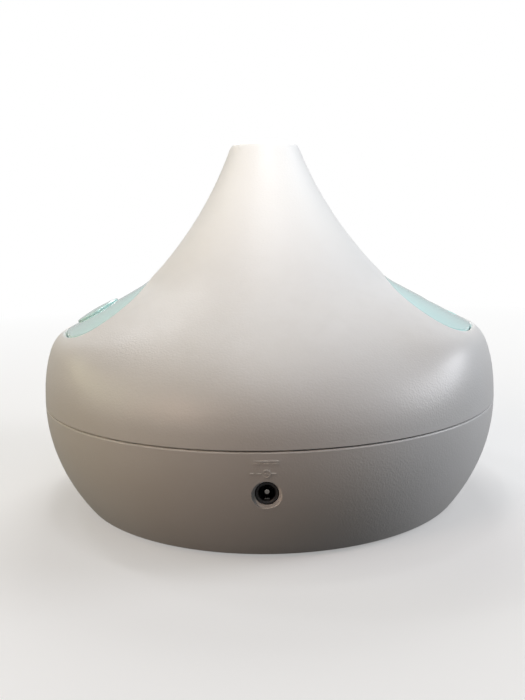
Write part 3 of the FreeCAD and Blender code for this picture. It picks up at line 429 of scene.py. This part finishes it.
class HUMIDIFIER_OT_stage(bpy.types.Operator):
    """Lays the pale floor, hangs the soft lights and sets the camera"""

    bl_idname = "humidifier.stage"
    bl_label = "Stage, lights and camera"
    ambient = 0.03
    gloss = 0.5
    floor_radius = 6.0
    near_floor = 0.08
    far_floor = 0.7
    unlit_floor = (0.16, 0.155, 0.15, 1.0)
    aim = Vector((0.0, 0.0, 0.08))
    tip = Vector((0.0, 0.0, 0.135))
    eye = Vector((0.0, 0.3261, 0.1161))
    pitch, yaw, roll = 0.173187, -0.007793, -0.020685
    turn = math.radians(0.84)

    def execute(self, context):
        colours = context.scene.humidifier_colours
        bm = bmesh.new()
        bmesh.ops.create_circle(bm, cap_ends=True, segments=96, radius=self.floor_radius)
        mesh = bpy.data.meshes.new("floor")
        bm.to_mesh(mesh)
        bm.free()
        floor = bpy.data.objects.new("floor", mesh)
        context.scene.collection.objects.link(floor)
        mesh.materials.append(self.floor_finish(opaque(colours.floor)))
        self.sky(context)
        for name, place, size, power, tint in (
            ("skylight", (0.0, -0.7, 0.7), 0.5, 4.9, (0.98, 0.98, 0.97)),
            ("window", (-0.9, 0.0, 0.4), 0.4, 5.0, (0.93, 0.95, 1.0)),
            ("lamp", (0.9, 0.0, 0.4), 0.4, 1.2, (1.0, 1.0, 0.62)),
            ("shaded lamp", (0.6, 0.6, 0.5), 0.4, 2.2, (1.0, 0.72, 0.54)),
            ("near lamp", (0.0, 0.16, 0.38), 0.2, 0.22, (0.93, 0.97, 1.0)),
            ("ceiling lamp", (0.067, -0.078, 1.28), 0.1, 1.0, (0.97, 0.98, 1.0)),
            ("ceiling side lamp", (0.556, -0.45, 1.04), 0.1, 1.0, (0.97, 0.98, 1.0)),
        ):
            self.soft_light(context, name, place, size, power, tint)
        self.tip_light(context)
        self.camera(context)
        context.scene.view_settings.view_transform = "Standard"
        return {"FINISHED"}

    def floor_finish(self, tint):
        """Pale matt floor that fades to white far off and is clear from below."""
        material = bpy.data.materials.new("pale floor")
        material.use_nodes = True
        tree = Nodes(material.node_tree)
        material.node_tree.nodes.clear()
        where = tree.place()
        away = tree.add("ShaderNodeVectorMath", {0: where}, operation="LENGTH").outputs["Value"]
        far = tree.fit(away, self.near_floor, self.far_floor, 0.35, 1.0)
        rays = tree.add("ShaderNodeLightPath").outputs
        seen = rays["Is Camera Ray"]
        near = tree.add("ShaderNodeBsdfDiffuse", {"Color": tree.mix(seen, self.unlit_floor, tint)})
        level = self.level(tree, rays)
        haze = tree.add("ShaderNodeEmission", {"Color": WHITE, "Strength": level})
        both = tree.add("ShaderNodeMixShader", {0: far, 1: near.outputs[0], 2: haze.outputs[0]})
        clear = tree.add("ShaderNodeBsdfTransparent")
        below = tree.add("ShaderNodeNewGeometry").outputs["Backfacing"]
        shown = tree.add("ShaderNodeMixShader", {0: below, 1: both.outputs[0], 2: clear.outputs[0]})
        output = tree.add("ShaderNodeOutputMaterial")
        material.node_tree.links.new(shown.outputs[0], output.inputs[0])
        return material

    def level(self, tree, rays):
        """White behind the object, a softer white in its gloss, and little light of its own."""
        gloss = tree.math("MULTIPLY_ADD", rays["Is Glossy Ray"], self.gloss, self.ambient)
        return tree.math("ADD", gloss, rays["Is Camera Ray"], clamp=True)

    def sky(self, context):
        """A plain studio backdrop."""
        world = bpy.data.worlds.new("studio")
        world.use_nodes = True
        context.scene.world = world
        tree = Nodes(world.node_tree)
        world.node_tree.nodes.clear()
        level = self.level(tree, tree.add("ShaderNodeLightPath").outputs)
        back = tree.add("ShaderNodeBackground", {"Color": WHITE, "Strength": level})
        output = tree.add("ShaderNodeOutputWorld")
        world.node_tree.links.new(back.outputs[0], output.inputs[0])

    def soft_light(self, context, name, place, size, power, tint):
        """A square lamp turned towards the middle of the object."""
        light = bpy.data.lights.new(name, "AREA")
        light.size = size
        light.energy = power
        light.color = tint
        self.hang(context, light, Vector(place), self.aim)

    def tip_light(self, context):
        """A narrow beam on the tip of the hood."""
        light = bpy.data.lights.new("tip lamp", "SPOT")
        light.energy = 15.0
        light.spot_size = math.radians(15.0)
        light.spot_blend = 1.0
        light.shadow_soft_size = 0.05
        self.hang(context, light, Vector((-0.05, 0.6, 0.5)), self.tip)

    def hang(self, context, light, place, aim):
        lamp = bpy.data.objects.new(light.name, light)
        lamp.location = place
        lamp.rotation_euler = (aim - place).to_track_quat("-Z", "Y").to_euler()
        lamp.visible_camera = False
        context.scene.collection.objects.link(lamp)

    def camera(self, context):
        """Looks down on the rear face from a hand's height, slightly tilted."""
        pitch, yaw, roll = self.pitch, self.yaw, self.roll
        view = bpy.data.cameras.new("view")
        view.lens = 38.84
        view.sensor_width = 36.0
        view.clip_end = 60.0
        level = math.cos(pitch)
        ahead = Vector((-level * math.sin(yaw), -level * math.cos(yaw), -math.sin(pitch)))
        right = Vector((-math.cos(yaw), math.sin(yaw), 0.0))
        up = right.cross(ahead)
        across = math.cos(roll) * right + math.sin(roll) * up
        upright = -math.sin(roll) * right + math.cos(roll) * up
        matrix = Matrix((across, upright, -ahead)).transposed().to_4x4()
        matrix.translation = self.eye
        camera = bpy.data.objects.new("view", view)
        camera.matrix_world = Matrix.Rotation(self.turn, 4, "Z") @ matrix
        context.scene.collection.objects.link(camera)
        context.scene.camera = camera


class HUMIDIFIER_OT_shells(bpy.types.Operator):
    """Gives the hood, the base and its cover their grained white skin"""

    bl_idname = "humidifier.shells"
    bl_label = "Hood and base shells"

    def execute(self, context):
        sizes = context.scene.humidifier_sizes
        colours = context.scene.humidifier_colours
        skin = plastic(
            "grained white shell",
            colours.shell,
            colours.shell_shade,
            0.38,
            pitch=sizes.grain_pitch,
            bump=0.28,
            wear=sizes.wear,
            dust=sizes.dust,
            specks=0.06,
        )
        finish_nodes(skin, "hood", "lower_housing", "bottom_cover")
        return {"FINISHED"}


class HUMIDIFIER_OT_pads(bpy.types.Operator):
    """Gives the control pads, their buttons and the outlet ring the glossy aqua skin"""

    bl_idname = "humidifier.pads"
    bl_label = "Control pads and buttons"

    def execute(self, context):
        colours = context.scene.humidifier_colours
        skin = plastic(
            "glossy aqua",
            colours.aqua,
            colours.aqua_shade,
            0.10,
            pitch=0.004,
            bump=0.02,
            wear=0.15,
            dust=0.05,
            Coat_Weight=0.6,
            Coat_Roughness=0.04,
        )
        finish_nodes(skin, "mist_pad", "light_pad", "mist_button", "light_button", "outlet_ring")
        return {"FINISHED"}


class HUMIDIFIER_OT_inlet(bpy.types.Operator):
    """Finishes the supply inlet and fits its contact leaf"""

    bl_idname = "humidifier.inlet"
    bl_label = "Supply inlet"
    bow = 0.0008
    sunk = 0.0025
    thick = 0.00018
    edge_round = 0.00004
    behind_mouth = 0.0055

    def execute(self, context):
        colours = context.scene.humidifier_colours
        black = plastic("black socket", colours.black, (0.02, 0.02, 0.021), 0.35, pitch=0.0003, dust=0.02)
        # Nickel darkened below its own colour: painted shade for the pin and the leaf deep in the socket
        pin = metal("nickel darkened as painted shade", (0.42, 0.40, 0.37), (0.30, 0.28, 0.26), 0.25)
        finish_nodes(black, "dc_jack")
        finish_nodes(pin, "dc_jack_pin")
        self.contact(context.scene.humidifier_sizes, pin)
        return {"FINISHED"}

    def contact(self, sizes, material):
        """A thin leaf that bows up from the floor of the socket's bore towards the pin."""
        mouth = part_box("dc_jack")[1][1]
        low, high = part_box("dc_jack_pin")
        height = 0.5 * (low[2] + high[2])
        bm = bmesh.new()
        bmesh.ops.create_grid(bm, x_segments=2, y_segments=10, size=0.5)
        bmesh.ops.scale(bm, vec=(sizes.contact_width, sizes.contact_reach, 1.0), verts=bm.verts)
        for vert in bm.verts:
            share_along = vert.co.y / sizes.contact_reach
            vert.co.z = self.bow * math.cos(math.pi * share_along)
        bmesh.ops.solidify(bm, geom=bm.faces[:], thickness=self.thick)
        bmesh.ops.bevel(
            bm,
            geom=[edge for edge in bm.edges if edge.calc_face_angle(0.0) > 1.0],
            offset=self.edge_round,
            segments=2,
            profile=0.5,
            affect="EDGES",
            material=-1,
        )
        bmesh.ops.translate(bm, vec=(0.0, mouth - self.behind_mouth, height - self.sunk), verts=bm.verts)
        made("inlet_contact", bm, "base", "nickel_pin", material)


class HUMIDIFIER_OT_feet(bpy.types.Operator):
    """Makes the four rubber feet with their rounded edges and dimples"""

    bl_idname = "humidifier.feet"
    bl_label = "Rubber feet"
    radius = 0.006
    dimple_depth = 0.0006
    dimple_floor = 0.0026
    dimple_rim = 0.0032

    def execute(self, context):
        round_over = context.scene.humidifier_sizes.foot_round
        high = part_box("rubber_feet")[1]
        spot = high[0] - self.radius
        outline = (
            (0.0, self.dimple_depth),
            (self.dimple_floor, self.dimple_depth),
            (self.dimple_rim, 0.0),
            (self.radius, 0.0),
            (self.radius, high[2]),
            (0.0, high[2]),
        )
        bm = bmesh.new()
        for across in (-spot, spot):
            for along in (-spot, spot):
                turned(bm, outline, (across, along, 0.0), steps=56)
        bmesh.ops.remove_doubles(bm, verts=bm.verts, dist=MERGE_WITHIN)
        corners = [
            edge
            for edge in bm.edges
            if len(edge.link_faces) == 2 and edge.calc_face_angle() > 0.6
        ]
        bmesh.ops.bevel(
            bm,
            geom=corners,
            offset=round_over,
            segments=4,
            profile=0.5,
            affect="EDGES",
            clamp_overlap=True,
            material=-1,
        )
        rubber = plastic(
            "foot rubber", (0.035, 0.035, 0.037), (0.055, 0.054, 0.052), 0.8, bump=0.4, wear=0.1, dust=0.0
        )
        made("feet", bm, "base", "rubber", rubber, "rubber_feet", sharp=50.0)
        return {"FINISHED"}


class HUMIDIFIER_OT_springs(bpy.types.Operator):
    """Winds the two button springs at their rest length"""

    bl_idname = "humidifier.springs"
    bl_label = "Button springs"
    turns = 4
    steps = 28

    def execute(self, context):
        sizes = context.scene.humidifier_sizes
        steel = metal("spring wire", (0.60, 0.60, 0.59), (0.48, 0.48, 0.47), 0.25)
        for side in ("mist", "light"):
            self.wind(side, sizes, steel)
        return {"FINISHED"}

    def wind(self, side, sizes, material):
        """One coil along its button's travel, laid along the axis of the button's joint."""
        turns, steps = self.turns, self.steps
        node = side + "_button_spring"
        joint = next(entry for entry in frame["joints"] if entry["name"] == side + "_button_press")
        outward = -Vector(joint["axis"]).normalized()
        low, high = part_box(node)
        centre = (Vector(low) + Vector(high)) / 2.0
        climb = sizes.spring_length / (turns * steps)
        bm = bmesh.new()
        ring = bmesh.ops.create_circle(bm, segments=12, radius=sizes.spring_wire)["verts"]
        bmesh.ops.rotate(bm, verts=ring, cent=(0.0, 0.0, 0.0), matrix=Matrix.Rotation(math.pi / 2.0, 3, "X"))
        bmesh.ops.translate(bm, verts=ring, vec=(sizes.spring_radius, 0.0, -0.5 * sizes.spring_length))
        bmesh.ops.spin(
            bm,
            geom=bm.verts[:] + bm.edges[:],
            cent=(0.0, 0.0, 0.0),
            axis=(0.0, 0.0, 1.0),
            dvec=(0.0, 0.0, climb),
            angle=2.0 * math.pi * turns,
            steps=turns * steps,
        )
        ends = [edge for edge in bm.edges if len(edge.link_faces) == 1]
        bmesh.ops.holes_fill(bm, edges=ends, sides=12)
        upright = Vector((0.0, 0.0, 1.0)).rotation_difference(outward).to_matrix()
        bmesh.ops.rotate(bm, verts=bm.verts, cent=(0.0, 0.0, 0.0), matrix=upright)
        bmesh.ops.translate(bm, verts=bm.verts, vec=centre)
        spring = made(side + "_spring", bm, "hood", "spring_steel", material, node, sharp=60.0)
        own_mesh(spring)


class HUMIDIFIER_OT_mist_path(bpy.types.Operator):
    """Finishes the mist chimney and the air duct in frosted plastic"""

    bl_idname = "humidifier.mist_path"
    bl_label = "Mist chimney and air duct"

    def execute(self, context):
        frosted = plastic(
            "frosted duct",
            (0.78, 0.80, 0.81),
            (0.72, 0.75, 0.76),
            0.5,
            Subsurface_Weight=0.2,
            Subsurface_Scale=0.004,
        )
        finish_nodes(frosted, "mist_chimney", "air_duct")
        return {"FINISHED"}


class HUMIDIFIER_OT_basin(bpy.types.Operator):
    """Finishes the water basin, the float on its post and the ultrasonic disc"""

    bl_idname = "humidifier.basin"
    bl_label = "Basin, float and disc"

    def execute(self, context):
        basin = plastic(
            "basin plastic", (0.80, 0.81, 0.81), (0.74, 0.755, 0.75), 0.26, pitch=0.0012, bump=0.06
        )
        foam = plastic("foamed float", (0.86, 0.86, 0.83), (0.80, 0.80, 0.76), 0.7, pitch=0.0009, bump=0.8)
        silvered = metal(
            "silvered disc", (0.70, 0.69, 0.66), (0.58, 0.56, 0.52), 0.35, stretch=(1.0, 1.0, 1.0)
        )
        finish_nodes(basin, "basin", "float_cap")
        finish_nodes(foam, "level_float")
        finish_nodes(silvered, "transducer_disc")
        return {"FINISHED"}


class HUMIDIFIER_OT_seals(bpy.types.Operator):
    """Finishes the gaskets and seals in grey rubber"""

    bl_idname = "humidifier.seals"
    bl_label = "Seals"

    def execute(self, context):
        rubber = plastic("grey rubber", (0.035, 0.035, 0.037), (0.05, 0.05, 0.05), 0.75, bump=0.3, wear=0.1)
        finish_nodes(rubber, "basin_gasket", "disc_seal", "chimney_seal")
        return {"FINISHED"}


class HUMIDIFIER_OT_fan(bpy.types.Operator):
    """Finishes the fan, its winding and the black clamp of the disc"""

    bl_idname = "humidifier.fan"
    bl_label = "Fan and clamp"

    def execute(self, context):
        colours = context.scene.humidifier_colours
        black = plastic("black frame", colours.black, (0.022, 0.022, 0.023), 0.45, pitch=0.0004)
        finish_nodes(black, "fan_frame", "fan_rotor", "disc_clamp")
        finish_nodes(winding("copper winding"), "fan_stator")
        return {"FINISHED"}


class HUMIDIFIER_OT_screws(bpy.types.Operator):
    """Finishes the screws, the fan's shaft and the magnets"""

    bl_idname = "humidifier.screws"
    bl_label = "Screws, shaft and magnets"

    def execute(self, context):
        steel = metal("zinc screws", (0.62, 0.62, 0.60), (0.46, 0.45, 0.42), 0.32)
        magnet = metal("plated magnet", (0.52, 0.52, 0.53), (0.42, 0.42, 0.44), 0.3)
        finish_nodes(
            steel,
            "housing_screws",
            "jack_screws",
            "board_screws",
            "fan_screws",
            "basin_screws",
            "clamp_screws",
            "led_screws",
            "fan_shaft",
        )
        finish_nodes(magnet, "float_magnet", "mist_button_magnet", "light_button_magnet")
        return {"FINISHED"}


class HUMIDIFIER_OT_boards(bpy.types.Operator):
    """Finishes the circuit boards, their parts, the lamps and the leads"""

    bl_idname = "humidifier.boards"
    bl_label = "Boards, lamps and leads"

    def execute(self, context):
        colours = context.scene.humidifier_colours
        bodies = plastic("component bodies", (0.016, 0.016, 0.017), (0.03, 0.03, 0.03), 0.55, pitch=0.0003)
        lens = plastic(
            "lamp lens",
            (0.90, 0.84, 0.50),
            (0.92, 0.90, 0.78),
            0.12,
            Transmission_Weight=0.3,
            Coat_Weight=0.5,
        )
        sleeve = plastic("lead sleeve", (0.42, 0.02, 0.015), (0.33, 0.015, 0.012), 0.4, pitch=0.001)
        finish_nodes(bodies, "board_parts")
        finish_nodes(lens, "led_lamps")
        finish_nodes(sleeve, "power_lead", "transducer_lead", "fan_lead")
        finish_nodes(
            circuit("green board", colours.board),
            "jack_board",
            "main_board",
            "led_board",
            "float_sensor",
            "mist_button_sensor",
            "light_button_sensor",
        )
        return {"FINISHED"}


STEPS = (
    HUMIDIFIER_OT_stage,
    HUMIDIFIER_OT_shells,
    HUMIDIFIER_OT_pads,
    HUMIDIFIER_OT_inlet,
    HUMIDIFIER_OT_feet,
    HUMIDIFIER_OT_springs,
    HUMIDIFIER_OT_mist_path,
    HUMIDIFIER_OT_basin,
    HUMIDIFIER_OT_seals,
    HUMIDIFIER_OT_fan,
    HUMIDIFIER_OT_screws,
    HUMIDIFIER_OT_boards,
)


class HUMIDIFIER_PT_parts(bpy.types.Panel):
    """Lists the building steps, the sizes and the colours"""

    bl_idname = "HUMIDIFIER_PT_parts"
    bl_label = "Mist humidifier"
    bl_space_type = "VIEW_3D"
    bl_region_type = "UI"
    bl_category = "Humidifier"

    def draw(self, context):
        layout = self.layout
        for step in STEPS:
            layout.operator(step.bl_idname)
        for group in (context.scene.humidifier_sizes, context.scene.humidifier_colours):
            box = layout.box()
            for name in group.__annotations__:
                box.prop(group, name)


CLASSES = (HumidifierSizes, HumidifierColours, *STEPS, HUMIDIFIER_PT_parts)


def register():
    for item in CLASSES:
        bpy.utils.register_class(item)
    bpy.types.Scene.humidifier_sizes = PointerProperty(type=HumidifierSizes)
    bpy.types.Scene.humidifier_colours = PointerProperty(type=HumidifierColours)


def unregister():
    del bpy.types.Scene.humidifier_colours
    del bpy.types.Scene.humidifier_sizes
    for item in reversed(CLASSES):
        bpy.utils.unregister_class(item)


def main():
    register()
    for step in STEPS:
        group, name = step.bl_idname.split(".")
        getattr(getattr(bpy.ops, group), name)()


if __name__ == "__main__":
    main()
